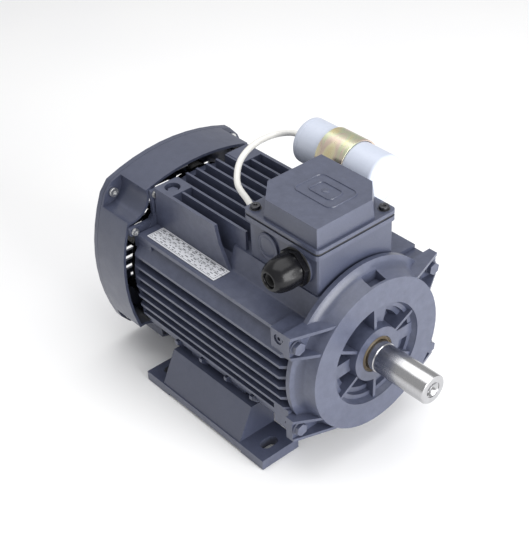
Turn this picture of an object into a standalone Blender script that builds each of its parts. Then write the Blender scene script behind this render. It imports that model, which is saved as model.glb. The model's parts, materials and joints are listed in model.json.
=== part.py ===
"""Foot-mounted single-phase induction motor with a side-mounted run capacitor.

World frame: +X points out of the drive end along the shaft, +Z is up, the feet stand on z = 0
and the shaft axis lies in the plane y = 0.  Sizes below are millimetres in the motor frame:
x measured from the face of the drive-end shield, y and z measured from the shaft axis.
"""
import math

import bmesh
import bpy
from mathutils import Vector

MM = 0.001
GAP = 0.3                      # clearance kept between pieces that touch

# ---- main sizes -------------------------------------------------------------------------
SHAFT_HEIGHT = 90.0            # feet to shaft axis
FACE_X = 97.75                 # world x of the drive-end shield face
SHAFT_R = 12.0
JOURNAL_R = 12.5
SHOULDER_X = 7.0
SHAFT_END_X = 57.0
KEYWAY_X = (12.0, 52.0)
FOOT_GAUGE = 140.0             # slot to slot across the motor
FOOT_PITCH = 125.0             # slot to slot along the motor
SLOT_FRONT_X = SHOULDER_X - 57.0

HOUSING_X = (-205.0, -20.5)
CORE_R = 64.0
BORE_R = 58.5
FIN_PITCH = 10.1
SIDE_TIPS = (74.9, 75.8, 76.5, 76.5, 75.8, 74.8, 72.8, 67.5)
TOP_FIN_Z = 78.5
TOP_FIN_PITCH = 10.4
BOTTOM_FIN_Z = -76.0

SHELF_NEAR_Y, SHELF_NEAR_Z = -70.0, 43.5
SHELF_FAR_Y, SHELF_FAR_Z = 73.0, 50.0
PANEL_TOP_Z = 79.0

RIM_R, RIM_X = 75.5, (-20.2, -16.2)
FACE_R, RECESS_R, HUB_R = 65.0, 44.0, 23.2
EAR_Y, EAR_Z = 70.5, 39.3
REAR_EAR_Y, REAR_EAR_Z = 61.5, 35.5

BEARING_R = 26.0
FRONT_BEARING_X = (-33.4, -18.4)
REAR_BEARING_X = (-207.2, -192.2)

STACK_X = (-172.0, -62.0)
AIR_GAP_R = 36.5

COWL_X = (-247.4, -210.0)
COWL_HALF = 84.7
COWL_ARC_TOP, COWL_ARC_SIDE = 169.0, 150.0
COWL_WALL = 2.4
SCOOP_AT, SCOOP_R = 71.5, 18.2
GRILLE_X = (-252.5, -247.7)
SLOT_ROWS, SLOT_PITCH, SLOT_TALL = 6, 9.2, 4.4   # air slots each side of the middle row
SLOT_FIELD_R = 61.0            # the slots end on this circle
FAN_R = 71.0

BOX_X, BOX_Y = (-99.5, -23.0), 38.5
BOX_Z = (62.0, 98.0)
RIM_BOX_X, RIM_BOX_Y = (-103.1, -21.6), 40.4
COVER_TOP_Z = 118.7
COVER_SCREWS = ((-96.0, -33.6), (-28.6, 33.6))
GLAND_X, GLAND_Z = -44.0, 80.0
GROMMET_Y, GROMMET_Z = -22.0, 84.0

CAP_X, CAP_Y, CAP_Z, CAP_R = (-141.0, -55.0), 62.5, 104.0, 19.5
CLAMP_X = (-113.0, -84.5)
LEAD_R = 2.6
# course of the lead from the box wall to the capacitor boot
LEAD_PATH = ((-104.0, -22.0, 84.0), (-109.5, -22.0, 84.6), (-121.0, -20.5, 92.0),
             (-133.5, -19.0, 98.6), (-143.0, -12.0, 103.0), (-151.0, -2.0, 106.4),
             (-156.5, 10.0, 108.6), (-160.0, 24.0, 109.4), (-162.0, 38.0, 108.0),
             (-162.5, 50.0, 105.6), (-159.5, 58.5, 104.2), (-153.0, 62.0, 104.0),
             (-146.5, 62.5, 104.0))

# ribs of the drive-end recess: angle from +Y towards +Z in degrees, width, x of the top
RIBS = ((0.0, 11.0, -4.5), (27.0, 2.6, -1.5), (74.0, 14.0, -7.5), (92.0, 2.6, -1.5),
        (150.0, 2.6, -1.5), (182.0, 12.0, -6.0), (213.0, 2.6, -1.5), (268.0, 2.6, -1.5),
        (330.0, 2.6, -1.5))

# ---- fasteners --------------------------------------------------------------------------
SCREW_R = 3.0                  # end-shield screws
BOLT_R = 4.0                   # foot bolts
FOOT_BOLT_X = (-141.0, -90.0)
FOOT_BOLT_Y = 58.5
FOOT_TOP_Z = -52.4             # top of the foot castings, under the housing pads
BOX_HOLE = (-82.0, 0.0)        # wire passage from the housing into the terminal box
EARTH_AT = (-29.3, 38.2)
BOSS_SCREW_AT = (-195.0, -38.0)
COWL_SCREWS = ((-48.0, 72.0), (48.0, 72.0), (-71.7, 46.3), (71.7, 46.3))
GRILLE_SCREW_AT = 63.6
STUD_X = (-62.0, -51.0, -40.0)
CLAMP_SCREW_AT = (-98.8, 73.0)

for leftover in list(bpy.data.objects):
    bpy.data.objects.remove(leftover, do_unlink=True)

MATERIALS = {}


def material(name, colour, metallic=0.0, roughness=0.5):
    mat = bpy.data.materials.new(name)
    mat.use_nodes = True
    shader = mat.node_tree.nodes["Principled BSDF"]
    shader.inputs["Base Color"].default_value = (*colour, 1.0)
    shader.inputs["Metallic"].default_value = metallic
    shader.inputs["Roughness"].default_value = roughness
    mat.diffuse_color = (*colour, 1.0)
    MATERIALS[name] = mat


material("paint", (0.10, 0.115, 0.18), 0.0, 0.45)
material("steel", (0.62, 0.60, 0.56), 1.0, 0.25)
material("zinc", (0.72, 0.72, 0.70), 1.0, 0.35)
material("yellow_zinc", (0.70, 0.62, 0.38), 1.0, 0.35)
material("aluminium", (0.75, 0.76, 0.78), 1.0, 0.35)
material("laminations", (0.30, 0.30, 0.32), 0.9, 0.5)
material("copper", (0.62, 0.27, 0.13), 0.4, 0.5)
material("black_plastic", (0.02, 0.02, 0.025), 0.0, 0.4)
material("white_plastic", (0.85, 0.85, 0.84), 0.0, 0.4)
material("grey_plastic", (0.35, 0.36, 0.38), 0.0, 0.5)
material("rubber", (0.03, 0.03, 0.03), 0.0, 0.8)
material("brass", (0.70, 0.52, 0.20), 1.0, 0.3)


# ---- solid helpers ----------------------------------------------------------------------
def finish(name, bm, mat, angle=35.0):
    """Turn a bmesh in the motor frame into a named object whose origin is on the shaft axis."""
    bmesh.ops.recalc_face_normals(bm, faces=bm.faces)
    mesh = bpy.data.meshes.new(name)
    bm.to_mesh(mesh)
    bm.free()
    for vertex in mesh.vertices:
        vertex.co *= MM
    obj = bpy.data.objects.new(name, mesh)
    obj.location = (FACE_X * MM, 0.0, SHAFT_HEIGHT * MM)
    bpy.context.scene.collection.objects.link(obj)
    mesh.materials.append(MATERIALS[mat])
    for polygon in mesh.polygons:
        polygon.use_smooth = True
    mesh.set_sharp_from_angle(angle=math.radians(angle))
    return obj


def prism(points, lo, hi, axis="X"):
    """Extrude a closed outline; the outline lies in (Y,Z), (X,Z) or (X,Y) for axis X, Y or Z."""
    bm = bmesh.new()
    rings = []
    for level in (lo, hi):
        ring = []
        for a, b in points:
            co = {"X": (level, a, b), "Y": (a, level, b), "Z": (a, b, level)}[axis]
            ring.append(bm.verts.new(co))
        rings.append(ring)
    count = len(points)
    for i in range(count):
        j = (i + 1) % count
        bm.faces.new((rings[0][i], rings[0][j], rings[1][j], rings[1][i]))
    bm.faces.new(rings[0])
    bm.faces.new(rings[1])
    return bm


def box(x, y, z):
    return prism(((x[0], y[0]), (x[1], y[0]), (x[1], y[1]), (x[0], y[1])), z[0], z[1], "Z")


def lathe(profile, steps, centre=(0.0, 0.0), axis="X"):
    """Turn a closed (position, radius) outline about an axis; radius 0 points close on the axis."""
    bm = bmesh.new()
    rings = []
    for pos, radius in profile:
        ring = []
        if radius < 1e-6:
            ring = [bm.verts.new(place(pos, 0.0, 0.0, centre, axis))] * steps
        else:
            for k in range(steps):
                angle = 2.0 * math.pi * (k + 0.5) / steps
                co = place(pos, radius * math.cos(angle), radius * math.sin(angle), centre, axis)
                ring.append(bm.verts.new(co))
        rings.append(ring)
    for i, ring in enumerate(rings):
        nxt = rings[(i + 1) % len(rings)]
        if ring[0] is ring[1] and nxt[0] is nxt[1]:
            continue
        for k in range(steps):
            m = (k + 1) % steps
            corners = []
            for vert in (ring[k], ring[m], nxt[m], nxt[k]):
                if vert not in corners:
                    corners.append(vert)
            bm.faces.new(corners)
    return bm


def place(pos, u, v, centre, axis):
    a, b = centre[0] + u, centre[1] + v
    return {"X": (pos, a, b), "Y": (a, pos, b), "Z": (a, b, pos)}[axis]


def rod(lo, hi, radius, steps, centre=(0.0, 0.0), axis="X"):
    return lathe(((lo, 0.0), (lo, radius), (hi, radius), (hi, 0.0)), steps, centre, axis)


def regular(radius, sides, centre=(0.0, 0.0), turn=0.0):
    points = []
    for k in range(sides):
        angle = turn + 2.0 * math.pi * k / sides
        points.append((centre[0] + radius * math.cos(angle), centre[1] + radius * math.sin(angle)))
    return points


def boolean(obj, bm, operation, solver="EXACT"):
    """Combine a solid with obj and keep the result as obj's own mesh."""
    cutter = finish("cutter", bm, "paint")
    mod = obj.modifiers.new("cut", "BOOLEAN")
    mod.operation = operation
    mod.solver = solver
    mod.object = cutter
    bpy.context.view_layer.update()
    graph = bpy.context.evaluated_depsgraph_get()
    result = bpy.data.meshes.new_from_object(obj.evaluated_get(graph))
    obj.modifiers.clear()
    old = obj.data
    obj.data = result
    bpy.data.meshes.remove(old)
    bpy.data.objects.remove(cutter, do_unlink=True)


def add(obj, *solids):
    for bm in solids:
        boolean(obj, bm, "UNION")


def cut(obj, *solids):
    for bm in solids:
        boolean(obj, bm, "DIFFERENCE")


def tidy(obj, mat, angle=35.0):
    """Dissolve leftover edges on flat faces and restore one material and the smooth shading."""
    bm = bmesh.new()
    bm.from_mesh(obj.data)
    bmesh.ops.remove_doubles(bm, verts=bm.verts, dist=0.00001)
    bmesh.ops.dissolve_limit(bm, angle_limit=math.radians(0.5), verts=bm.verts, edges=bm.edges)
    bmesh.ops.recalc_face_normals(bm, faces=bm.faces)
    bm.to_mesh(obj.data)
    bm.free()
    obj.data.name = obj.name
    obj.data.materials.clear()
    obj.data.materials.append(MATERIALS[mat])
    for polygon in obj.data.polygons:
        polygon.material_index = 0
        polygon.use_smooth = True
    obj.data.set_sharp_from_angle(angle=math.radians(angle))


def four_corners(y, z):
    return ((-y, z), (-y, -z), (y, z), (y, -z))


# ---- housing ----------------------------------------------------------------------------
def fin_outline(side, z, tip):
    return ((side * 50.0, z - 2.4), (side * tip, z - 1.2), (side * tip, z + 1.2),
            (side * 50.0, z + 2.4))


def build_housing():
    x0, x1 = HOUSING_X
    housing = finish("housing", rod(x0, x1, CORE_R, 64), "paint")
    for side in (-1.0, 1.0):
        wedge = ((side * 56.0, 38.5), (side * 66.0, 36.8), (side * SIDE_TIPS[0], 26.8),
                 (side * SIDE_TIPS[0], 24.2), (side * 58.0, 22.0))
        add(housing, prism(wedge, x0, x1))
        for i, tip in enumerate(SIDE_TIPS[1:7]):
            add(housing, prism(fin_outline(side, 25.0 - FIN_PITCH * (i + 1), tip), x0, x1))
        low_z = 25.0 - FIN_PITCH * 7
        add(housing, box((x0, x1), sorted((side * 43.0, side * SIDE_TIPS[7])),
                         (low_z - 1.5, low_z + 1.5)))
        chamfer = ((-27.0, side * 78.0), (-27.0, side * 76.6), (-20.4, side * 70.0),
                   (-20.4, side * 78.0))
        cut(housing, prism(chamfer, -60.0, 36.0, "Z"))
    near = ((-40.0, 39.3), (SHELF_NEAR_Y, 40.0), (SHELF_NEAR_Y, SHELF_NEAR_Z),
            (-40.0, SHELF_NEAR_Z))
    add(housing, prism(near, x0, -21.2))
    far = ((40.0, 41.0), (SHELF_FAR_Y, 46.3), (SHELF_FAR_Y, SHELF_FAR_Z), (40.0, SHELF_FAR_Z))
    add(housing, prism(far, x0, -32.0))
    for i in (-3.5, -2.5, -1.5, -0.5, 0.5, 1.5, 2.5, 3.5):
        y = i * TOP_FIN_PITCH
        outline = ((y - 2.0, 45.0), (y + 2.0, 45.0), (y + 1.1, TOP_FIN_Z), (y - 1.1, TOP_FIN_Z))
        add(housing, prism(outline, x0, -105.0))
    for i in (-2, -1, 0, 1, 2):
        y = i * TOP_FIN_PITCH
        outline = ((y - 1.1, BOTTOM_FIN_Z), (y + 1.1, BOTTOM_FIN_Z), (y + 2.0, -50.0),
                   (y - 2.0, -50.0))
        add(housing, prism(outline, x0 + 8.0, -36.0))
    panel = ((x0, 42.0), (-112.5, 42.0), (-115.0, 47.0), (-119.5, 55.0), (-124.5, 65.0),
             (-128.0, PANEL_TOP_Z), (x0, PANEL_TOP_Z))
    add(housing, prism(panel, -49.4, -46.4, "Y"), prism(panel, 46.4, 49.4, "Y"))
    ramp = ((-46.5, 42.0), (-39.6, 61.6), (39.6, 61.6), (46.5, 42.0))
    add(housing, prism(ramp, -117.0, -22.0))
    for y, z in four_corners(1.0, 1.0):
        add(housing, box((-37.0, HOUSING_X[1]), sorted((y * 52.0, y * 73.6)),
                         sorted((z * 26.0, z * 46.2))))
        add(housing, box((x0, x0 + 16.0), sorted((y * 50.0, y * 69.0)), sorted((z * 28.0, z * 43.0))))
        if z > 0:
            add(housing, box((x0, x0 + 21.0), sorted((y * 27.0, y * 48.4)), (50.0, PANEL_TOP_Z)))
    for side in (-1.0, 1.0):
        for x in FOOT_BOLT_X:
            add(housing, box((x - 9.0, x + 9.0), sorted((side * 46.0, side * 66.0)),
                             (FOOT_TOP_Z + GAP, -30.0)))
        for x in (-163.0, -131.0, -99.5, -68.0):
            rib = ((60.0, -43.0), (71.5, -43.0), (71.5, -46.5), (66.0, FOOT_TOP_Z + GAP),
                   (60.0, FOOT_TOP_Z + GAP))
            add(housing, prism([(side * y, z) for y, z in rib], x - 1.6, x + 1.6))
    cut(housing, rod(x0 - 1.0, x1 + 1.0, BORE_R, 64))
    seat_y = BOX_Y + 0.4
    cut(housing, box((BOX_X[0] - 0.4, BOX_X[1] + 0.4), (-seat_y, seat_y), (BOX_Z[0] - GAP, 90.0)))
    cut(housing, rod(45.0, 70.0, 10.0, 24, BOX_HOLE, "Z"))
    for y, z in four_corners(EAR_Y, EAR_Z):
        cut(housing, rod(-24.4, -20.0, SCREW_R + GAP, 10, (y, z)))
    for y, z in four_corners(REAR_EAR_Y, REAR_EAR_Z):
        cut(housing, rod(x0 - 1.0, x0 + 13.0, SCREW_R + GAP, 12, (y, z)))
    for side in (-1.0, 1.0):
        for x in FOOT_BOLT_X:
            cut(housing, rod(FOOT_TOP_Z - 1.0, -36.0, BOLT_R + GAP, 12, (x, side * FOOT_BOLT_Y), "Z"))
    for centre in COWL_SCREWS:
        cut(housing, rod(x0 - 1.0, x0 + 1.6, 3.8, 12, centre))
    cut(housing, rod(-75.0, -69.0, 4.4, 12, EARTH_AT, "Y"))
    cut(housing, rod(-70.0, -62.0, 2.3, 12, EARTH_AT, "Y"))
    cut(housing, rod(72.5, 80.0, 6.6, 20, BOSS_SCREW_AT, "Z"))
    cut(housing, rod(60.0, 73.0, 2.8, 12, BOSS_SCREW_AT, "Z"))
    tidy(housing, "paint")


# ---- end shields ------------------------------------------------------------------------
def build_drive_end_shield():
    dish = ((-16.8, 25.2), (-16.8, 31.5), (-8.8, 33.6), (-8.6, 37.6), (-5.2, 38.4),
            (-5.0, 41.8), (-1.5, 43.6))
    fillet = ((-8.0, 66.9), (-11.5, 68.1), (-14.0, 70.2), (-15.5, 73.0), (RIM_X[1], RIM_R))
    inside = ((RIM_X[0], RIM_R), (-20.2, 58.2), (-27.0, 58.2), (-27.0, 53.5), (-19.5, 50.0),
              (-19.5, 36.0), (-33.7, 31.5), (-33.7, BEARING_R), (-18.1, BEARING_R),
              (-18.1, 15.5), (0.0, 15.5), (0.0, HUB_R))
    profile = ((0.0, RECESS_R), (0.0, FACE_R)) + fillet + inside + dish
    shield = finish("drive_end_shield", lathe(profile, 64), "paint")
    for degrees, width, top in RIBS:
        angle = math.radians(degrees)
        along = Vector((math.cos(angle), math.sin(angle)))
        across = Vector((-along.y, along.x)) * width / 2.0
        inner, outer = along * 22.0, along * 46.0
        outline = [tuple(inner - across), tuple(outer - across), tuple(outer + across),
                   tuple(inner + across)]
        add(shield, prism(outline, -17.4, top))
    cut(shield, box((-12.5, -1.8), (-6.0, 9.5), (59.5, 75.0)))
    for sy, sz in four_corners(1.0, 1.0):
        plate = ((48.0, 29.6), (76.6, 29.6), (76.6, 50.2), (44.0, 50.2))
        add(shield, prism([(sy * y, sz * z) for y, z in plate], -20.2, -13.4))
        for z0, z1, y_in in ((29.6, 32.2, 56.5), (47.6, 50.2, 42.0)):
            wall = ((-20.0, 76.6), (-12.2, 76.6), (-1.0, y_in + 1.5), (-1.0, y_in - 6.0),
                    (-20.0, y_in - 6.0))
            add(shield, prism([(x, sy * y) for x, y in wall], *sorted((sz * z0, sz * z1)), "Z"))
        cut(shield, rod(-21.0, -11.0, SCREW_R + GAP, 12, (sy * EAR_Y, sz * EAR_Z)))
    tidy(shield, "paint")


def build_rear_end_shield():
    profile = ((-205.3, 73.0), (-211.6, 73.0), (-211.6, 14.6), (-207.5, 14.6),
               (-207.5, BEARING_R), (-191.8, BEARING_R), (-191.8, 31.0), (-204.0, 34.0),
               (-204.0, 52.0), (-199.0, 53.5), (-199.0, 58.2), (-205.3, 58.2))
    shield = finish("rear_end_shield", lathe(profile, 36), "paint")
    for sy, sz in four_corners(1.0, 1.0):
        add(shield, box((-211.6, -205.3), sorted((sy * 48.0, sy * 69.0)),
                        sorted((sz * 28.5, sz * 42.5))))
        cut(shield, rod(-213.0, -204.0, SCREW_R + GAP, 12, (sy * REAR_EAR_Y, sz * REAR_EAR_Z)))
    for y, z in COWL_SCREWS:
        if abs(z) > abs(y):
            arm = box((-209.6, -206.4), sorted((y - 3.6, y + 3.6)), (45.0, z + 3.4))
        else:
            arm = box((-209.6, -206.4), sorted((math.copysign(50.0, y), math.copysign(75.6, y))),
                      (z - 3.6, z + 3.6))
        add(shield, arm)
        cut(shield, rod(-214.0, -204.2, 1.9, 8, (y, z)))
    tidy(shield, "paint")


# ---- cowl, grille, fan ------------------------------------------------------------------
def cowl_outline(inset, steps=10):
    """Four shallow arcs meeting near the diagonals, as (y, z)."""
    half = COWL_HALF - inset
    reach = 70.4 - inset * 0.9
    points = []
    for quarter in range(4):
        arc = COWL_ARC_SIDE if quarter % 2 == 0 else COWL_ARC_TOP
        for k in range(steps):
            t = -reach + 2.0 * reach * (k + 0.5) / steps
            u = half - t * t / (2.0 * arc)
            angle = quarter * math.pi / 2.0
            c, s = round(math.cos(angle)), round(math.sin(angle))
            points.append((u * c - t * s, u * s + t * c))
    return points


def build_fan_cover():
    x0, x1 = COWL_X
    cover = finish("fan_cover", prism(cowl_outline(0.0), x0, x1), "paint")
    cut(cover, prism(cowl_outline(COWL_WALL), x0 + 2.4, x1 + 1.0))
    for y, z in four_corners(SCOOP_AT, SCOOP_AT):
        tube = finish("tube", rod(x0, x1, SCOOP_R + COWL_WALL, 32, (y, z)), "paint")
        boolean(tube, prism(cowl_outline(0.4), x0, x1), "INTERSECT")
        merge(cover, tube)
        cut(cover, rod(x0 + 2.4, x1 + 1.0, SCOOP_R, 32, (y, z)))
    cut(cover, rod(x0 - 1.0, x0 + 3.0, 66.0, 64))
    for y, z in COWL_SCREWS:
        if abs(z) > abs(y):
            lug = box((-217.0, -210.0), (y - 3.4, y + 3.4), (68.5, 76.2))
        else:
            lug = box((-217.0, -210.0), sorted((math.copysign(68.5, y), math.copysign(76.0, y))),
                      (z - 3.4, z + 3.4))
        add(cover, lug)
        cut(cover, rod(-216.0, -209.0, 1.9, 8, (y, z)))
    for y, z in four_corners(GRILLE_SCREW_AT, GRILLE_SCREW_AT):
        cut(cover, rod(x0 - 1.0, x0 + 3.0, 2.3, 10, (y, z)))
    tidy(cover, "paint")


def merge(obj, other):
    """Union another built object into obj and remove it."""
    mod = obj.modifiers.new("merge", "BOOLEAN")
    mod.operation = "UNION"
    mod.solver = "EXACT"
    mod.object = other
    bpy.context.view_layer.update()
    graph = bpy.context.evaluated_depsgraph_get()
    result = bpy.data.meshes.new_from_object(obj.evaluated_get(graph))
    obj.modifiers.clear()
    obj.data = result
    bpy.data.objects.remove(other, do_unlink=True)


def build_fan_grille():
    x0, x1 = GRILLE_X
    grille = finish("fan_grille", prism(cowl_outline(0.0), x0, x1), "paint")
    cut(grille, prism(cowl_outline(3.0), x0 - 1.0, x0 + 2.4))
    for row in range(-SLOT_ROWS, SLOT_ROWS + 1):
        z = SLOT_PITCH * row
        reach = math.sqrt(SLOT_FIELD_R ** 2 - z ** 2)
        for side in (-1.0, 1.0):
            cut(grille, box((x0 - 1.0, x1 + 1.0), sorted((side * 3.5, side * reach)),
                            (z - SLOT_TALL / 2.0, z + SLOT_TALL / 2.0)))
    for y, z in four_corners(GRILLE_SCREW_AT, GRILLE_SCREW_AT):
        cut(grille, rod(x0 + 1.0, x1 + 1.0, 2.3, 10, (y, z)))
    tidy(grille, "paint")


def build_fan():
    hub = ((-238.5, 10.3), (-238.5, 18.0), (-226.0, 22.0), (-220.2, 40.0), (-219.8, FAN_R - 1.0),
           (-218.0, FAN_R - 1.0), (-218.0, 16.0), (-217.0, 15.0), (-217.0, 10.3))
    fan = finish("fan", lathe(hub, 28), "black_plastic")
    for k in range(9):
        angle = 2.0 * math.pi * k / 9.0
        along = Vector((math.cos(angle), math.sin(angle)))
        across = Vector((-along.y, along.x)) * 1.1
        inner, outer = along * 17.0, along * FAN_R
        outline = [tuple(inner - across), tuple(outer - across), tuple(outer + across),
                   tuple(inner + across)]
        add(fan, prism(outline, -238.0, -219.0))
    tidy(fan, "black_plastic")


# ---- feet -------------------------------------------------------------------------------
def slot_outline(x, y):
    points = []
    for end, start in ((1.0, 0.0), (-1.0, math.pi)):
        for k in range(7):
            angle = start + math.pi * k / 6.0
            points.append((x + 5.0 * math.cos(angle), y + end * 3.0 + 5.0 * math.sin(angle)))
    return points


def build_foot(name, side):
    plate = sorted((side * 50.2, side * 88.0))
    foot = finish(name, box((-187.0, -37.0), plate, (-90.0, -81.0)), "paint")
    block = ((87.2, -82.0), (72.9, FOOT_TOP_Z), (50.2, FOOT_TOP_Z), (50.2, -82.0))
    add(foot, prism([(side * y, z) for y, z in block], -165.5, -66.0))
    cut(foot, box((-158.0, -64.0), sorted((side * 45.0, side * 90.0)), (-91.0, -88.0)))
    for x in (SLOT_FRONT_X, SLOT_FRONT_X - FOOT_PITCH):
        cut(foot, prism(slot_outline(x, side * FOOT_GAUGE / 2.0), -91.0, -80.0, "Z"))
    for x in FOOT_BOLT_X:
        cut(foot, rod(-91.0, -60.0, 7.4, 20, (x, side * FOOT_BOLT_Y), "Z"))
        cut(foot, rod(-61.0, -50.0, BOLT_R + GAP, 12, (x, side * FOOT_BOLT_Y), "Z"))
    tidy(foot, "paint")


# ---- terminal box -----------------------------------------------------------------------
def rectangle(x, y, radius=0.0, steps=3):
    if radius == 0.0:
        return [(x[0], y[0]), (x[1], y[0]), (x[1], y[1]), (x[0], y[1])]
    points = []
    corners = ((x[0] + radius, y[0] + radius, math.pi), (x[1] - radius, y[0] + radius, 1.5 * math.pi),
               (x[1] - radius, y[1] - radius, 0.0), (x[0] + radius, y[1] - radius, 0.5 * math.pi))
    for cx, cy, start in corners:
        for k in range(steps + 1):
            angle = start + 0.5 * math.pi * k / steps
            points.append((cx + radius * math.cos(angle), cy + radius * math.sin(angle)))
    return points


def build_terminal_box():
    body = finish("terminal_box", prism(rectangle(BOX_X, (-BOX_Y, BOX_Y), 3.0), *BOX_Z, "Z"), "paint")
    rim = rectangle(RIM_BOX_X, (-RIM_BOX_Y, RIM_BOX_Y), 4.0)
    add(body, prism(rim, 94.0, BOX_Z[1], "Z"))
    add(body, rod(-40.0, -37.0, 11.5, 28, (-77.0, GLAND_Z), "Y"))
    add(body, rod(-40.0, -37.0, 15.0, 28, (GLAND_X, GLAND_Z), "Y"))
    inside = rectangle((BOX_X[0] + 3.0, BOX_X[1] - 3.0), (-35.5, 35.5), 3.0)
    cut(body, prism(inside, 65.0, 99.0, "Z"))
    for x, y in COVER_SCREWS:
        add(body, rod(64.0, BOX_Z[1], 4.6, 16, (x, y), "Z"))
        cut(body, rod(82.0, 99.0, 2.3, 10, (x, y), "Z"))
    cut(body, rod(60.0, 67.0, 10.0, 24, BOX_HOLE, "Z"))
    cut(body, rod(-42.0, -30.0, 10.0, 24, (GLAND_X, GLAND_Z), "Y"))
    cut(body, rod(-105.0, -95.0, 5.4, 16, (GROMMET_Y, GROMMET_Z), "X"))
    tidy(body, "paint")

    inner = rectangle((BOX_X[0] + 3.0, BOX_X[1] - 3.0), (-35.5, 35.5), 3.0)
    outer = rectangle((RIM_BOX_X[0] + 0.9, RIM_BOX_X[1] - 0.7), (-RIM_BOX_Y + 0.8, RIM_BOX_Y - 0.8), 3.4)
    gasket = finish("terminal_box_gasket", prism(outer, 98.3, 99.7, "Z"), "rubber")
    cut(gasket, prism(inner, 98.0, 100.0, "Z"))
    for x, y in COVER_SCREWS:
        add(gasket, rod(98.3, 99.7, 4.4, 16, (x, y), "Z"))
        cut(gasket, rod(98.0, 100.0, 2.3, 10, (x, y), "Z"))
    tidy(gasket, "rubber")


def cover_outline(half, corner):
    cx = 0.5 * (RIM_BOX_X[0] + RIM_BOX_X[1])
    return [(cx - half + corner, -half), (cx + half, -half), (cx + half, half - corner),
            (cx + half - corner, half), (cx - half, half), (cx - half, -half + corner)]


def loft(lower, upper, z0, z1):
    bm = bmesh.new()
    rings = [[bm.verts.new((x, y, z)) for x, y in ring] for ring, z in ((lower, z0), (upper, z1))]
    count = len(lower)
    for i in range(count):
        j = (i + 1) % count
        bm.faces.new((rings[0][i], rings[0][j], rings[1][j], rings[1][i]))
    bm.faces.new(rings[0])
    bm.faces.new(rings[1])
    return bm


def build_cover():
    rim = rectangle(RIM_BOX_X, (-RIM_BOX_Y, RIM_BOX_Y), 4.0)
    cover = finish("terminal_box_cover", prism(rim, 100.0, 103.0, "Z"), "paint")
    add(cover, loft(cover_outline(38.2, 18.5), cover_outline(36.5, 18.0), 102.0, COVER_TOP_Z))
    cut(cover, loft(cover_outline(35.4, 18.0), cover_outline(33.9, 17.2), 99.0, COVER_TOP_Z - 2.6))
    for x, y in COVER_SCREWS:
        cut(cover, rod(99.0, 104.0, 2.3, 10, (x, y), "Z"))
    tidy(cover, "paint")


def build_terminal_board():
    board = finish("terminal_board", box((-68.0, -34.0), (-13.0, 13.0), (65.3, 71.0)), "black_plastic")
    for x in STUD_X:
        for y in (-6.5, 6.5):
            cut(board, rod(66.5, 72.0, 2.3, 10, (x, y), "Z"))
    for x in (-56.5, -45.5):
        add(board, box((x - 0.9, x + 0.9), (-13.0, 13.0), (70.0, 76.0)))
    tidy(board, "black_plastic")
    for i, x in enumerate(STUD_X):
        link = finish(f"terminal_link_{i + 1}", box((x - 3.0, x + 3.0), (-10.5, 10.5), (71.3, 72.7)),
                      "brass")
        for y in (-6.5, 6.5):
            add(link, rod(67.0, 82.0, 2.0, 8, (x, y), "Z"))
            add(link, prism(regular(4.0, 6, (x, y)), 72.0, 75.6, "Z"))
        tidy(link, "brass")


def build_gland():
    centre = (GLAND_X, GLAND_Z)
    body = finish("gland_body", prism(regular(15.4, 6, centre, 0.3), -45.5, -40.7, "Y"),
                  "black_plastic")
    add(body, rod(-56.0, -31.0, 9.6, 20, centre, "Y"))
    cut(body, rod(-60.0, -30.0, 6.2, 20, centre, "Y"))
    tidy(body, "black_plastic")
    profile = ((-45.8, 9.95), (-45.8, 13.6), (-53.0, 13.6), (-62.0, 12.2), (-66.4, 9.4),
               (-67.8, 7.6), (-67.8, 5.9), (-65.8, 5.2), (-62.8, 5.2), (-58.0, 9.95))
    nut = finish("gland_nut", lathe(profile, 22, centre, "Y"), "black_plastic")
    tidy(nut, "black_plastic")
    grommet = ((-94.0, 2.95), (-94.0, 5.0), (-99.9, 5.0), (-99.9, 6.8), (-102.4, 6.8),
               (-104.6, 4.9), (-108.5, 4.6), (-108.5, 2.95))
    entry = finish("lead_grommet", lathe(grommet, 20, (GROMMET_Y, GROMMET_Z)), "black_plastic")
    tidy(entry, "black_plastic")


# ---- capacitor --------------------------------------------------------------------------
def build_capacitor():
    x0, x1 = CAP_X
    centre = (CAP_Y, CAP_Z)
    can = ((x0, 0.0), (x0, CAP_R - 2.0), (x0 + 2.0, CAP_R), (x1 - 2.6, CAP_R),
           (x1 - 0.8, CAP_R - 1.0), (x1, CAP_R - 3.0), (x1, 0.0))
    finish("capacitor_can", lathe(can, 36, centre), "white_plastic")
    boot = ((x0 - 0.3, 0.0), (x0 - 0.3, 11.0), (x0 - 2.3, 10.0), (x0 - 4.0, 4.6),
            (x0 - 11.0, 4.0), (x0 - 11.0, 2.95), (x0 - 4.5, 2.95), (x0 - 4.5, 0.0))
    tidy(finish("capacitor_boot", lathe(boot, 24, centre), "grey_plastic"), "grey_plastic")
    band = ((CLAMP_X[0], CAP_R + GAP), (CLAMP_X[0], CAP_R + 1.5), (CLAMP_X[1], CAP_R + 1.5),
            (CLAMP_X[1], CAP_R + GAP))
    clamp = finish("capacitor_clamp", lathe(band, 36, centre), "yellow_zinc")
    strap = ((49.2, 88.4), (40.6, 79.6), (40.6, 66.5), (38.9, 66.5), (38.9, 80.4), (48.0, 89.8))
    add(clamp, prism(strap, *CLAMP_X))
    cut(clamp, rod(38.0, 42.0, 2.4, 10, CLAMP_SCREW_AT, "Y"))
    tidy(clamp, "yellow_zinc")


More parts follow.
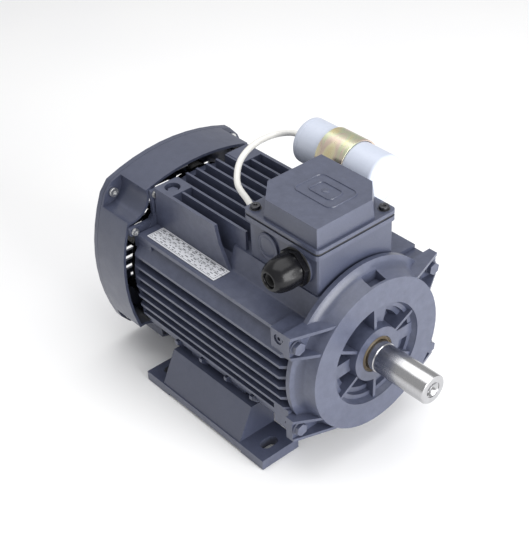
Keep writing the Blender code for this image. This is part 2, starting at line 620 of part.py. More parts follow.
def smooth_path(points, parts):
    """Catmull-Rom curve through the points."""
    pts = [Vector(p) for p in points]
    out = []
    for i in range(len(pts) - 1):
        a = pts[i - 1] if i > 0 else pts[i] * 2.0 - pts[i + 1]
        b, c = pts[i], pts[i + 1]
        d = pts[i + 2] if i + 2 < len(pts) else pts[i + 1] * 2.0 - pts[i]
        for k in range(parts):
            t = k / parts
            out.append(0.5 * (2.0 * b + (c - a) * t + (2.0 * a - 5.0 * b + 4.0 * c - d) * t * t
                              + (3.0 * b - a - 3.0 * c + d) * t * t * t))
    out.append(pts[-1])
    return out


def build_lead():
    curve = bpy.data.curves.new("capacitor_lead", "CURVE")
    curve.dimensions = "3D"
    curve.bevel_depth = LEAD_R * MM
    curve.bevel_resolution = 2
    curve.use_fill_caps = True
    curve.resolution_u = 1
    curve.render_resolution_u = 0
    points = smooth_path(LEAD_PATH, 2)
    spline = curve.splines.new("POLY")
    spline.points.add(len(points) - 1)
    for target, point in zip(spline.points, points):
        target.co = (*(point * MM), 1.0)
    curve.materials.append(MATERIALS["white_plastic"])
    lead = bpy.data.objects.new("capacitor_lead", curve)
    lead.location = (FACE_X * MM, 0.0, SHAFT_HEIGHT * MM)
    bpy.context.scene.collection.objects.link(lead)


# ---- inside -----------------------------------------------------------------------------
def build_stator():
    x0, x1 = STACK_X
    core = finish("stator_core", rod(x0, x1, BORE_R - GAP, 48), "laminations")
    outline = []
    slots = 24
    for k in range(slots):
        base = 2.0 * math.pi * k / slots
        for part, radius in ((-0.5, AIR_GAP_R + 0.4), (-0.12, AIR_GAP_R + 0.4),
                             (-0.30, AIR_GAP_R + 11.0), (0.30, AIR_GAP_R + 11.0),
                             (0.12, AIR_GAP_R + 0.4)):
            angle = base + part * 2.0 * math.pi / slots
            outline.append((radius * math.cos(angle), radius * math.sin(angle)))
    cut(core, prism(outline, x0 - 1.0, x1 + 1.0))
    tidy(core, "laminations")
    for name, lo, hi in (("stator_winding_front", x1 + GAP, x1 + 22.0),
                         ("stator_winding_rear", x0 - 22.0, x0 - GAP)):
        ring = ((lo, 40.0), (lo, 52.0), (lo + 5.0, 55.0), (hi - 5.0, 55.0), (hi, 52.0),
                (hi, 42.0), (hi - 4.0, 39.0), (lo + 4.0, 39.0))
        finish(name, lathe(ring, 24), "copper")


def build_rotor():
    shaft = ((SHAFT_END_X, 6.4), (SHAFT_END_X, SHAFT_R - 1.2), (SHAFT_END_X - 1.2, SHAFT_R),
             (SHOULDER_X, SHAFT_R), (SHOULDER_X, JOURNAL_R), (-33.8, JOURNAL_R), (-33.8, 15.0),
             (-191.8, 15.0), (-191.8, JOURNAL_R), (-208.0, JOURNAL_R), (-208.0, 10.0),
             (-239.6, 10.0), (-239.6, 9.2), (-240.8, 9.2), (-240.8, 10.0), (-243.0, 10.0),
             (-244.0, 9.0), (-244.0, 0.0), (34.0, 0.0), (36.0, 3.5), (SHAFT_END_X - 2.1, 3.5))
    body = finish("shaft", lathe(shaft, 32), "steel")
    cut(body, box(KEYWAY_X, (-4.0, 4.0), (-13.0, -8.0)))
    tidy(body, "steel")
    finish("shaft_key", box((KEYWAY_X[0] + GAP, KEYWAY_X[1] - GAP), (-3.7, 3.7), (-15.0, -8.3)), "steel")
    x0, x1 = STACK_X
    core = ((x0 - 8.0, 24.0), (x0 - 8.0, 34.0), (x0, 35.0), (x0, AIR_GAP_R - 0.4),
            (x1, AIR_GAP_R - 0.4), (x1, 35.0), (x1 + 8.0, 34.0), (x1 + 8.0, 24.0), (x1, 23.0),
            (x1, 15.3), (x0, 15.3), (x0, 23.0))
    finish("rotor_core", lathe(core, 24), "aluminium")
    for end, (lo, hi) in (("front", FRONT_BEARING_X), ("rear", REAR_BEARING_X)):
        outer = ((lo, 22.6), (lo, BEARING_R - GAP), (hi, BEARING_R - GAP), (hi, 22.6),
                 (hi - 1.2, 17.2), (lo + 1.2, 17.2))
        finish(f"{end}_bearing_outer", lathe(outer, 24), "steel")
        inner = ((lo, JOURNAL_R + GAP), (lo, 16.6), (hi, 16.6), (hi, JOURNAL_R + GAP))
        finish(f"{end}_bearing_inner", lathe(inner, 24), "steel")
    seal = ((-9.0, JOURNAL_R + GAP), (-9.0, 15.2), (-0.4, 15.2), (0.2, 14.4),
            (0.2, JOURNAL_R + GAP))
    finish("shaft_seal", lathe(seal, 24), "rubber")
    clip = finish("fan_circlip", lathe(((-239.8, 9.5), (-239.8, 12.6), (-240.6, 12.6),
                                        (-240.6, 9.5)), 24), "steel")
    cut(clip, box((-242.0, -238.0), (-2.5, 2.5), (0.0, 14.0)))
    tidy(clip, "steel")


# ---- fasteners and small parts ----------------------------------------------------------
def screw(name, mat, centre, axis, tip, seat, top, shank, head, sides=6):
    """Headed screw along an axis: shank from tip to seat, head from seat to top."""
    lo, hi = sorted((seat, top))
    if sides == 6:
        solid = prism(regular(head, 6, centre, 0.35), lo, hi, axis)
    else:
        solid = rod(lo, hi, head, sides, centre, axis)
    obj = finish(name, solid, mat)
    inside = seat + (top - seat) * 0.5
    add(obj, rod(*sorted((tip, inside)), shank, 8, centre, axis))
    return obj


def drive_recess(obj, centre, axis, top, depth):
    """Hex socket cut into a round head."""
    lo, hi = sorted((top - depth, top + math.copysign(1.0, depth)))
    cut(obj, prism(regular(1.7, 6, centre), lo, hi, axis))


def build_fasteners():
    for i, centre in enumerate(four_corners(EAR_Y, EAR_Z)):
        obj = screw(f"drive_end_screw_{i + 1}", "paint", centre, "X", -24.1, -13.1, -8.4,
                    SCREW_R, 5.4)
        add(obj, rod(-13.1, -12.0, 6.0, 16, centre))
        tidy(obj, "paint")
    for i, centre in enumerate(four_corners(REAR_EAR_Y, REAR_EAR_Z)):
        obj = screw(f"rear_end_screw_{i + 1}", "zinc", centre, "X", HOUSING_X[0] + 12.0, -211.9,
                    -216.0, SCREW_R, 5.4)
        tidy(obj, "zinc")
    for i, centre in enumerate(COWL_SCREWS):
        obj = screw(f"fan_cover_screw_{i + 1}", "zinc", centre, "X", -215.6, -206.1, -203.9,
                    1.6, 3.3, 12)
        drive_recess(obj, centre, "X", -203.9, 1.2)
        tidy(obj, "zinc")
    for i, centre in enumerate(four_corners(GRILLE_SCREW_AT, GRILLE_SCREW_AT)):
        obj = screw(f"grille_screw_{i + 1}", "zinc", centre, "X", -250.0, COWL_X[0] + 2.7,
                    COWL_X[0] + 5.3, 2.0, 4.2, 12)
        drive_recess(obj, centre, "X", COWL_X[0] + 5.3, 1.4)
        tidy(obj, "zinc")
    count = 0
    for side in (-1.0, 1.0):
        for x in FOOT_BOLT_X:
            count += 1
            obj = screw(f"foot_bolt_{count}", "zinc", (x, side * FOOT_BOLT_Y), "Z", -37.0, -60.3,
                        -66.0, BOLT_R, 6.9)
            tidy(obj, "zinc")
    for i, centre in enumerate(COVER_SCREWS):
        obj = screw(f"cover_screw_{i + 1}", "zinc", centre, "Z", 84.0, 103.3, 105.9, 2.0, 4.0, 12)
        drive_recess(obj, centre, "Z", 105.9, 1.4)
        tidy(obj, "zinc")
    obj = screw("earth_screw", "zinc", EARTH_AT, "Y", -63.0, -69.3, -72.6, 2.0, 3.8, 12)
    drive_recess(obj, EARTH_AT, "Y", -72.6, -1.6)
    tidy(obj, "zinc")
    obj = screw("boss_screw", "paint", BOSS_SCREW_AT, "Z", 62.0, 72.8, 76.4, 2.5, 4.8)
    tidy(obj, "paint")
    obj = screw("clamp_screw", "zinc", CLAMP_SCREW_AT, "Y", 38.8, 40.9, 43.4, 2.0, 4.0, 12)
    drive_recess(obj, CLAMP_SCREW_AT, "Y", 43.4, 1.4)
    tidy(obj, "zinc")
    finish("nameplate", box((-196.5, -111.5), (-66.4, -49.8), (43.8, 44.6)), "aluminium")


build_housing()
build_drive_end_shield()
build_rear_end_shield()
build_fan_cover()
build_fan_grille()
build_fan()
build_foot("left_foot", -1.0)
build_foot("right_foot", 1.0)
build_terminal_box()
build_cover()
build_terminal_board()
build_gland()
build_capacitor()
build_lead()
build_stator()
build_rotor()
build_fasteners()
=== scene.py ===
import json
import math
import random

import bmesh
import bpy
from mathutils import Matrix, Vector


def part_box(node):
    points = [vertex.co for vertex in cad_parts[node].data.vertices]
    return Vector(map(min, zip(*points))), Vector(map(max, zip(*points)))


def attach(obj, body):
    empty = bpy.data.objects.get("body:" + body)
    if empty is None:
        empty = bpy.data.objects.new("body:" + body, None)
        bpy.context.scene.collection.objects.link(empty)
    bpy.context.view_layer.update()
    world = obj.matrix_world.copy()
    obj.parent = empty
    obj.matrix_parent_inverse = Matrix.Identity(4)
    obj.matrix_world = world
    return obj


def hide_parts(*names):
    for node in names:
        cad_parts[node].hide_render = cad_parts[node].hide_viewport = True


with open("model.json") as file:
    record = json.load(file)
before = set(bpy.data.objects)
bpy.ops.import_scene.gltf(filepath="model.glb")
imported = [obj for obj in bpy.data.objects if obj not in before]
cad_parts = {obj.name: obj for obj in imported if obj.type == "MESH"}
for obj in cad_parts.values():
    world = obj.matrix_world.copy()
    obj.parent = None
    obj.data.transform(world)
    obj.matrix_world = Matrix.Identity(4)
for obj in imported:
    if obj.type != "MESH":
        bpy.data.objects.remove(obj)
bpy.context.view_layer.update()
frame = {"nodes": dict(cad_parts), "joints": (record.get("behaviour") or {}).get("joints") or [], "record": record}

# Lengths named in millimetres are measured in the motor's own frame: x from the face of the
# drive-end shield, y and z from the shaft axis.  at() turns them into the model's frame.
MM = 0.001
FACE_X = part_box("drive_end_shield")[1].x
AXIS_Z = frame["joints"][0]["pos_m"][2]


def at(x, y, z):
    return Vector((FACE_X + x * MM, y * MM, AXIS_Z + z * MM))


# ---- camera -----------------------------------------------------------------------------
CAMERA_AT = (504.1, -521.9, 605.6)
CAMERA_TARGET = (-100.8, -24.3, 32.7)
CAMERA_ROLL = -2.8
CAMERA_LENS = 80.65


def make_camera():
    position, target = at(*CAMERA_AT), at(*CAMERA_TARGET)
    forward = (target - position).normalized()
    right = forward.cross(Vector((0.0, 0.0, 1.0))).normalized()
    up = right.cross(forward)
    c, s = math.cos(math.radians(CAMERA_ROLL)), math.sin(math.radians(CAMERA_ROLL))
    right, up = right * c + up * s, up * c - right * s
    data = bpy.data.cameras.new("camera")
    data.lens = CAMERA_LENS
    data.sensor_width = 36.0
    camera = bpy.data.objects.new("camera", data)
    turn = Matrix((right, up, -forward)).transposed().to_4x4()
    camera.matrix_world = Matrix.Translation(position) @ turn
    bpy.context.scene.collection.objects.link(camera)
    bpy.context.scene.camera = camera


make_camera()


# ---- materials --------------------------------------------------------------------------
class Surface:
    """A Principled material whose colour, roughness and bump come from procedural nodes."""

    def __init__(self, name, metallic=0.0, coat=0.0, specular=0.5):
        self.mat = bpy.data.materials.new(name)
        self.mat.use_nodes = True
        self.tree = self.mat.node_tree
        self.shader = self.tree.nodes["Principled BSDF"]
        self.shader.inputs["Metallic"].default_value = metallic
        self.shader.inputs["Coat Weight"].default_value = coat
        self.shader.inputs["Coat Roughness"].default_value = 0.25
        self.shader.inputs["Specular IOR Level"].default_value = specular
        self.coords = self.tree.nodes.new("ShaderNodeTexCoord")
        self.height = None

    def link(self, out, into):
        self.tree.links.new(out, into)

    def stretch(self, scale):
        """Object coordinates scaled by a factor along each axis."""
        mapping = self.tree.nodes.new("ShaderNodeMapping")
        mapping.inputs["Scale"].default_value = scale
        self.link(self.coords.outputs["Object"], mapping.inputs["Vector"])
        return mapping.outputs["Vector"]

    def noise(self, scale, detail=4.0, rough=0.55, vector=None, distortion=0.0):
        node = self.tree.nodes.new("ShaderNodeTexNoise")
        node.inputs["Scale"].default_value = scale
        node.inputs["Detail"].default_value = detail
        node.inputs["Roughness"].default_value = rough
        node.inputs["Distortion"].default_value = distortion
        self.link(vector or self.coords.outputs["Object"], node.inputs["Vector"])
        return node.outputs["Fac"]

    def ramp(self, fac, *stops):
        """Colour ramp from (position, colour) stops."""
        node = self.tree.nodes.new("ShaderNodeValToRGB")
        ramp = node.color_ramp
        while len(ramp.elements) < len(stops):
            ramp.elements.new(0.5)
        for element, (position, colour) in zip(ramp.elements, stops):
            element.position = position
            element.color = (*colour, 1.0)
        self.link(fac, node.inputs["Fac"])
        return node.outputs["Color"]

    def span(self, fac, low, high, start=0.3, end=0.7):
        node = self.tree.nodes.new("ShaderNodeMapRange")
        for key, value in (("From Min", start), ("From Max", end), ("To Min", low),
                           ("To Max", high)):
            node.inputs[key].default_value = value
        self.link(fac, node.inputs["Value"])
        return node.outputs["Result"]

    def mix(self, fac, a, b):
        node = self.tree.nodes.new("ShaderNodeMix")
        node.data_type = "RGBA"
        for value, socket in ((fac, node.inputs[0]), (a, node.inputs[6]), (b, node.inputs[7])):
            if isinstance(value, (int, float)):
                socket.default_value = value
            elif isinstance(value, tuple):
                socket.default_value = (*value, 1.0)
            else:
                self.link(value, socket)
        return node.outputs[2]

    def edge(self, low=0.515, high=0.57):
        """1 on outward edges, 0 on flats and in hollows."""
        node = self.tree.nodes.new("ShaderNodeNewGeometry")
        return self.span(node.outputs["Pointiness"], 0.0, 1.0, low, high)

    def colour(self, out):
        self.link(out, self.shader.inputs["Base Color"])

    def roughness(self, fac, low, high):
        self.link(self.span(fac, low, high), self.shader.inputs["Roughness"])

    def bump(self, fac, distance, strength=1.0):
        node = self.tree.nodes.new("ShaderNodeBump")
        node.inputs["Distance"].default_value = distance
        node.inputs["Strength"].default_value = strength
        self.link(fac, node.inputs["Height"])
        if self.height is not None:
            self.link(self.height, node.inputs["Normal"])
        self.height = node.outputs["Normal"]
        self.link(self.height, self.shader.inputs["Normal"])


def make_paint(name, base):
    """Satin enamel over a casting: orange peel, fine grain, faint clouding, and outward edges lightened as painted
    edge highlight mixed with rubbed wear.
    """
    s = Surface(name, coat=0.35)
    dark = tuple(c * 0.95 for c in base)
    light = tuple(c * 1.05 for c in base)
    # lighter paint on outward edges: partly painted edge highlight, partly rubbed wear
    edge_highlight_and_wear = tuple(min(1.0, c * 1.45 + 0.015) for c in base)
    cloud = s.ramp(s.noise(16.0, 5.0, 0.6), (0.32, dark), (0.68, light))
    speck = s.ramp(s.noise(900.0, 3.0, 0.5), (0.35, (0.93,) * 3), (0.65, (1.05,) * 3))
    tint = s.tree.nodes.new("ShaderNodeMix")
    tint.data_type = "RGBA"
    tint.blend_type = "MULTIPLY"
    tint.inputs[0].default_value = 1.0
    s.link(cloud, tint.inputs[6])
    s.link(speck, tint.inputs[7])
    # outward edges broken up by noise, where the painted edge highlight and wear are mixed in
    edge_highlight_and_wear_mask = s.tree.nodes.new("ShaderNodeMath")
    edge_highlight_and_wear_mask.operation = "MULTIPLY"
    s.link(s.edge(), edge_highlight_and_wear_mask.inputs[0])
    s.link(s.span(s.noise(120.0, 6.0, 0.7), 0.1, 0.75), edge_highlight_and_wear_mask.inputs[1])
    s.colour(s.mix(edge_highlight_and_wear_mask.outputs[0], tint.outputs[2], edge_highlight_and_wear))
    s.roughness(s.noise(70.0, 6.0, 0.6), 0.34, 0.46)
    s.bump(s.noise(160.0, 3.0, 0.5), 0.00016, 0.55)
    s.bump(s.noise(650.0, 4.0, 0.6), 0.00007, 0.7)
    s.bump(s.noise(2200.0, 3.0, 0.6), 0.00003, 0.6)
    return s.mat


def make_metal(name, dark, light, rough, scale=(1.0, 1.0, 1.0), grain=900.0, depth=0.00001,
               tarnish=None):
    """Bare or plated metal; scale stretches the machining marks."""
    s = Surface(name, metallic=1.0)
    marks = s.noise(grain, 5.0, 0.7, s.stretch(scale))
    tone = s.ramp(marks, (0.3, dark), (0.7, light))
    if tarnish:
        patch = s.span(s.noise(70.0, 6.0, 0.65), 0.0, 0.8, 0.45, 0.72)
        tone = s.mix(patch, tone, tarnish)
    s.colour(tone)
    s.roughness(s.noise(300.0, 5.0, 0.7, s.stretch(scale)), *rough)
    s.bump(marks, depth, 0.6)
    return s.mat


def make_plastic(name, dark, light, rough, grain=1500.0, depth=0.00003, coat=0.0,
                 specular=0.5):
    s = Surface(name, coat=coat, specular=specular)
    s.colour(s.mix(s.span(s.noise(260.0, 6.0, 0.7), 0.0, 0.5, 0.5, 0.75),
                   s.ramp(s.noise(25.0, 4.0), (0.3, dark), (0.7, light)),
                   tuple(c * 0.92 for c in dark)))
    s.roughness(s.noise(180.0, 6.0, 0.65), *rough)
    s.bump(s.noise(grain, 3.0, 0.5), depth, 0.7)
    return s.mat


def make_yellow_zinc():
    """Passivated plating: straw yellow drifting through pink and green."""
    s = Surface("yellow_zinc_plate", metallic=1.0)
    drift = s.noise(38.0, 3.0, 0.5, s.stretch((1.6, 0.6, 0.6)), 0.8)
    tone = s.ramp(drift, (0.30, (0.74, 0.60, 0.33)), (0.42, (0.80, 0.74, 0.50)),
                  (0.52, (0.70, 0.56, 0.48)), (0.62, (0.62, 0.66, 0.46)),
                  (0.74, (0.78, 0.68, 0.40)))
    s.colour(tone)
    brush = s.noise(420.0, 4.0, 0.6, s.stretch((4.0, 0.4, 0.4)))
    s.roughness(brush, 0.24, 0.42)
    s.bump(brush, 0.00002, 0.6)
    return s.mat


def make_print(name, colour):
    """Thin printed or etched ink."""
    s = Surface(name)
    s.colour(s.ramp(s.noise(900.0, 4.0), (0.3, tuple(c * 0.8 for c in colour)),
                    (0.7, tuple(min(1.0, c * 1.3) for c in colour))))
    s.roughness(s.noise(500.0, 4.0), 0.4, 0.6)
    s.bump(s.noise(2500.0, 2.0), 0.00001, 0.5)
    return s.mat


PAINT_COLOUR = (0.050, 0.058, 0.096)
MATERIALS = {
    "paint": make_paint("enamel_blue_grey", PAINT_COLOUR),
    "zinc": make_metal("bright_zinc", (0.50, 0.51, 0.52), (0.80, 0.80, 0.79), (0.26, 0.42),
                       tarnish=(0.46, 0.45, 0.43)),
    "steel": make_metal("turned_steel", (0.42, 0.42, 0.43), (0.50, 0.50, 0.51), (0.19, 0.24),
                        scale=(9.0, 0.25, 0.25), grain=420.0, depth=0.000001),
    "yellow_zinc": make_yellow_zinc(),
    "aluminium": make_metal("brushed_aluminium", (0.80, 0.81, 0.84), (0.95, 0.95, 0.97),
                            (0.28, 0.42), scale=(0.15, 3.0, 3.0), grain=900.0),
    "laminations": make_metal("stacked_laminations", (0.16, 0.16, 0.18), (0.36, 0.36, 0.38),
                              (0.4, 0.6), scale=(6.0, 0.2, 0.2), grain=500.0, depth=0.00006),
    "copper": make_metal("varnished_copper", (0.42, 0.16, 0.07), (0.66, 0.30, 0.14),
                         (0.25, 0.45), scale=(0.3, 3.0, 3.0), grain=500.0, depth=0.00015),
    "black_plastic": make_plastic("black_polyamide", (0.004, 0.004, 0.005),
                                  (0.008, 0.008, 0.010), (0.20, 0.28), depth=0.000006,
                                  specular=0.28),
    # white capacitor can given a darker bluish-grey base colour as painted shade, standing in for less light on
    # the can
    "white_plastic": make_plastic("white_moulding_painted_shade", (0.50, 0.54, 0.64), (0.55, 0.59, 0.69),
                                  (0.30, 0.45), depth=0.00002, coat=0.15),
    "grey_plastic": make_plastic("grey_moulding", (0.28, 0.29, 0.31), (0.38, 0.39, 0.42),
                                 (0.40, 0.55)),
    "rubber": make_plastic("black_rubber", (0.018, 0.018, 0.018), (0.035, 0.035, 0.036),
                           (0.65, 0.85), 900.0, 0.00006),
    "brass": make_metal("plain_brass", (0.58, 0.40, 0.14), (0.74, 0.56, 0.26), (0.22, 0.38)),
    "white_lead": make_plastic("white_pvc", (0.74, 0.73, 0.69), (0.84, 0.83, 0.80), (0.34, 0.5),
                               depth=0.00002),
    "plate_face": make_plastic("plate_face", (0.66, 0.67, 0.71), (0.76, 0.77, 0.81),
                               (0.26, 0.38), depth=0.00001, coat=0.3),
    "ink": make_print("plate_ink", (0.09, 0.095, 0.11)),
    "dark_steel": make_metal("blackened_steel", (0.05, 0.05, 0.055), (0.14, 0.14, 0.15),
                             (0.28, 0.42)),
    "bronze_rubber": make_plastic("seal_case", (0.07, 0.052, 0.030), (0.13, 0.10, 0.06),
                                  (0.30, 0.45)),
}

for entry in frame["record"]["subparts"]:
    node = frame["nodes"][entry["node"]]
    finish = MATERIALS[entry["material_slot"]]
    for slot in node.material_slots:
        slot.material = finish
for name, look in (("cover_screw_1", "dark_steel"), ("cover_screw_2", "dark_steel"),
                   ("earth_screw", "paint"), ("boss_screw", "paint"),
                   ("nameplate", "plate_face")):
    frame["nodes"][name].material_slots[0].material = MATERIALS[look]


# ---- mesh helpers -----------------------------------------------------------------------
def placed_mesh(name, bm):
    """Mesh in the model's frame from a motor-frame bmesh in millimetres."""
    bmesh.ops.recalc_face_normals(bm, faces=bm.faces)
    for vert in bm.verts:
        vert.co = at(*vert.co)
    mesh = bpy.data.meshes.new(name)
    bm.to_mesh(mesh)
    bm.free()
    return mesh


def piece(name, bm, look, body="frame", angle=35.0, bevel=0.0, smooth=True, replaced=()):
    """Motor-frame bmesh in millimetres to a finished piece riding on a body."""
    mesh = placed_mesh(name, bm)
    obj = bpy.data.objects.new(name, mesh)
    bpy.context.scene.collection.objects.link(obj)
    mesh.materials.append(MATERIALS[look])
    for polygon in mesh.polygons:
        polygon.use_smooth = smooth
    mesh.set_sharp_from_angle(angle=math.radians(angle))
    if bevel:
        round_edges(obj, bevel)
    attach(obj, body)
    if replaced:
        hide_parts(*replaced)
    return obj


def round_edges(obj, width, segments=2, angle=28.0, clean=False):
    """Small rounds on every sharp edge, shaded from the larger faces."""
    if clean:
        weld = obj.modifiers.new("weld", "WELD")
        weld.merge_threshold = 0.00001
        planar = obj.modifiers.new("planar", "DECIMATE")
        planar.decimate_type = "DISSOLVE"
        planar.angle_limit = math.radians(0.4)
    bevel = obj.modifiers.new("round", "BEVEL")
    bevel.width = width * MM
    bevel.segments = segments
    bevel.limit_method = "ANGLE"
    bevel.angle_limit = math.radians(angle)
    bevel.use_clamp_overlap = True
    normals = obj.modifiers.new("normals", "WEIGHTED_NORMAL")
    normals.keep_sharp = False
    normals.weight = 60


def prism(points, lo, hi, axis="X", bm=None):
    bm = bm or bmesh.new()
    rings = []
    for level in (lo, hi):
        rings.append([bm.verts.new({"X": (level, a, b), "Y": (a, level, b),
                                    "Z": (a, b, level)}[axis]) for a, b in points])
    count = len(points)
    for i in range(count):
        j = (i + 1) % count
        bm.faces.new((rings[0][i], rings[0][j], rings[1][j], rings[1][i]))
    bm.faces.new(rings[0])
    bm.faces.new(rings[1])
    return bm


def block(x, y, z, bm=None):
    return prism(((x[0], y[0]), (x[1], y[0]), (x[1], y[1]), (x[0], y[1])), z[0], z[1], "Z", bm)


def lathe(profile, steps, centre=(0.0, 0.0), axis="X", bm=None):
    """Turn a closed (position, radius) outline about an axis."""
    bm = bm or bmesh.new()
    rings = []
    for pos, radius in profile:
        if radius < 1e-6:
            rings.append([bm.verts.new(turned(pos, 0.0, 0.0, centre, axis))] * steps)
            continue
        ring = []
        for k in range(steps):
            angle = 2.0 * math.pi * k / steps
            ring.append(bm.verts.new(turned(pos, radius * math.cos(angle),
                                            radius * math.sin(angle), centre, axis)))
        rings.append(ring)
    for i, ring in enumerate(rings):
        nxt = rings[(i + 1) % len(rings)]
        if ring[0] is ring[1] and nxt[0] is nxt[1]:
            continue
        for k in range(steps):
            m = (k + 1) % steps
            corners = []
            for vert in (ring[k], ring[m], nxt[m], nxt[k]):
                if vert not in corners:
                    corners.append(vert)
            bm.faces.new(corners)
    return bm


def turned(pos, u, v, centre, axis):
    a, b = centre[0] + u, centre[1] + v
    return {"X": (pos, a, b), "Y": (a, pos, b), "Z": (a, b, pos)}[axis]


# ---- the free lead ----------------------------------------------------------------------
LEAD_R = 2.6
LEAD_PATH = ((-104.0, -22.0, 84.0), (-109.5, -22.0, 84.6), (-121.0, -20.5, 92.0),
             (-133.5, -19.0, 98.6), (-143.0, -12.0, 103.0), (-151.0, -2.0, 106.4),
             (-156.5, 10.0, 108.6), (-160.0, 24.0, 109.4), (-162.0, 38.0, 108.0),
             (-162.5, 50.0, 105.6), (-159.5, 58.5, 104.2), (-153.0, 62.0, 104.0),
             (-146.5, 62.5, 104.0))


def smooth_path(points, parts):
    """Catmull-Rom curve through the points."""
    pts = [Vector(p) for p in points]
    out = []
    for i in range(len(pts) - 1):
        a = pts[i - 1] if i > 0 else pts[i] * 2.0 - pts[i + 1]
        b, c = pts[i], pts[i + 1]
        d = pts[i + 2] if i + 2 < len(pts) else pts[i + 1] * 2.0 - pts[i]
        for k in range(parts):
            t = k / parts
            out.append(0.5 * (2.0 * b + (c - a) * t + (2.0 * a - 5.0 * b + 4.0 * c - d) * t * t
                              + (3.0 * b - a - 3.0 * c + d) * t * t * t))
    out.append(pts[-1])
    return out


def make_lead():
    points = [at(*p) for p in smooth_path(LEAD_PATH, 5)]
    curve = bpy.data.curves.new("lead_wire", "CURVE")
    curve.dimensions = "3D"
    curve.bevel_depth = LEAD_R * MM
    curve.bevel_resolution = 5
    curve.use_fill_caps = True
    curve.resolution_u = 1
    spline = curve.splines.new("POLY")
    spline.points.add(len(points) - 1)
    for target, point in zip(spline.points, points):
        target.co = (*point, 1.0)
    curve.materials.append(MATERIALS["white_lead"])
    lead = bpy.data.objects.new("lead_wire", curve)
    bpy.context.scene.collection.objects.link(lead)
    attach(lead, "frame")
    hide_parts("capacitor_lead")


make_lead()


# ---- detailed pieces --------------------------------------------------------------------
def carve(obj, bm):
    """Cut a motor-frame solid out of a piece and keep the result."""
    mesh = placed_mesh("cutter", bm)
    cutter = bpy.data.objects.new("cutter", mesh)
    bpy.context.scene.collection.objects.link(cutter)
    cut = obj.modifiers.new("cut", "BOOLEAN")
    cut.operation = "DIFFERENCE"
    cut.solver = "EXACT"
    cut.object = cutter
    bpy.context.view_layer.update()
    graph = bpy.context.evaluated_depsgraph_get()
    result = bpy.data.meshes.new_from_object(obj.evaluated_get(graph))
    obj.modifiers.clear()
    obj.data = result
    bpy.data.objects.remove(cutter, do_unlink=True)
    for polygon in result.polygons:
        polygon.use_smooth = True
    result.set_sharp_from_angle(angle=math.radians(35.0))


def fluted(profile, steps, centre, flutes, depth, span, axis="Y"):
    """A turned outline whose radius dips in flutes between two positions."""
    bm = lathe(profile, steps, centre, axis)
    index = {"X": 0, "Y": 1, "Z": 2}[axis]
    others = [i for i in range(3) if i != index]
    for vert in bm.verts:
        if span[0] <= vert.co[index] <= span[1]:
            u, v = vert.co[others[0]] - centre[0], vert.co[others[1]] - centre[1]
            radius = math.hypot(u, v)
            if radius < FLUTE_FROM_R:
                continue
            angle = math.atan2(v, u)
            dip = depth * (0.5 - 0.5 * math.cos(flutes * angle)) ** 2
            vert.co[others[0]] = centre[0] + u * (radius - dip) / radius
            vert.co[others[1]] = centre[1] + v * (radius - dip) / radius
    return bm


def edge_of(node, axis, high=True):
    """Motor-frame coordinate, in millimetres, of one side of a CAD node."""
    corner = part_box(node)[1 if high else 0]
    origin = at(0.0, 0.0, 0.0)
    return (corner[axis] - origin[axis]) / MM


SHAFT_R, JOURNAL_R, CORE_SEAT_R, FAN_SEAT_R = 12.0, 12.5, 15.0, 10.0
SHAFT_LENGTH = 50.0            # shoulder to end
KEYWAY_HALF, KEYWAY_FLOOR_Z = 4.0, -8.0
SHAFT_END_X = edge_of("shaft", 0)
SHOULDER_X = SHAFT_END_X - SHAFT_LENGTH
KEYWAY_X = (edge_of("shaft_key", 0, False) - 0.3, edge_of("shaft_key", 0) + 0.3)


def make_shaft():
    """Ground shaft with a rounded end, centre hole, shoulder, keyway and fan seat."""
    end = SHAFT_END_X
    outline = [(end, 6.6), (end, SHAFT_R - 1.5)]
    for k in range(5):
        angle = math.pi / 2.0 * k / 4.0
        outline.append((end - 0.9 + 0.9 * math.cos(angle) - 0.02,
                        SHAFT_R - 1.4 + 1.4 * math.sin(angle)))
    outline += [(SHOULDER_X + 1.2, SHAFT_R), (SHOULDER_X + 1.0, SHAFT_R - 0.15),
                (SHOULDER_X + 0.2, SHAFT_R - 0.15), (SHOULDER_X, SHAFT_R + 0.1),
                (SHOULDER_X, JOURNAL_R - 0.3), (SHOULDER_X - 0.3, JOURNAL_R),
                (-33.8, JOURNAL_R), (-33.8, CORE_SEAT_R), (-191.8, CORE_SEAT_R),
                (-191.8, JOURNAL_R), (-208.0, JOURNAL_R), (-208.0, FAN_SEAT_R),
                (-239.6, FAN_SEAT_R), (-239.6, 9.2), (-240.8, 9.2), (-240.8, FAN_SEAT_R),
                (-243.2, FAN_SEAT_R), (-244.0, 9.2), (-244.0, 0.0),
                (end - 23.0, 0.0), (end - 21.0, 3.5), (end - 4.2, 3.5), (end - 3.6, 3.9),
                (end - 1.0, 5.9), (end - 0.7, 6.5)]
    shaft = piece("shaft_ground", lathe(outline, 96), "steel", "rotor", 30.0,
                  replaced=("shaft",))
    slot = block(KEYWAY_X, (-KEYWAY_HALF, KEYWAY_HALF), (-SHAFT_R - 1.5, KEYWAY_FLOOR_Z))
    carve(shaft, slot)


def make_seal():
    """Rotary seal: pressed outer case, grooved face and a lip that follows the shaft."""
    outline = ((-9.0, JOURNAL_R + 0.5), (-9.0, 15.2), (-0.6, 15.2), (0.1, 14.9), (0.2, 14.5),
               (-0.5, 14.2), (-0.7, 13.8), (-0.1, 13.5), (0.2, 13.1), (0.0, JOURNAL_R + 0.35))
    piece("seal_face", lathe(outline, 72), "bronze_rubber", replaced=("shaft_seal",))


GLAND = (-44.0, 80.0)          # gland and blank centres on the box wall, as x and z
BLANK = (-77.0, 80.0)
BOX_WALL_Y = -40.0
FLUTES, FLUTE_DEPTH, FLUTE_FROM_R = 8, 0.5, 12.0


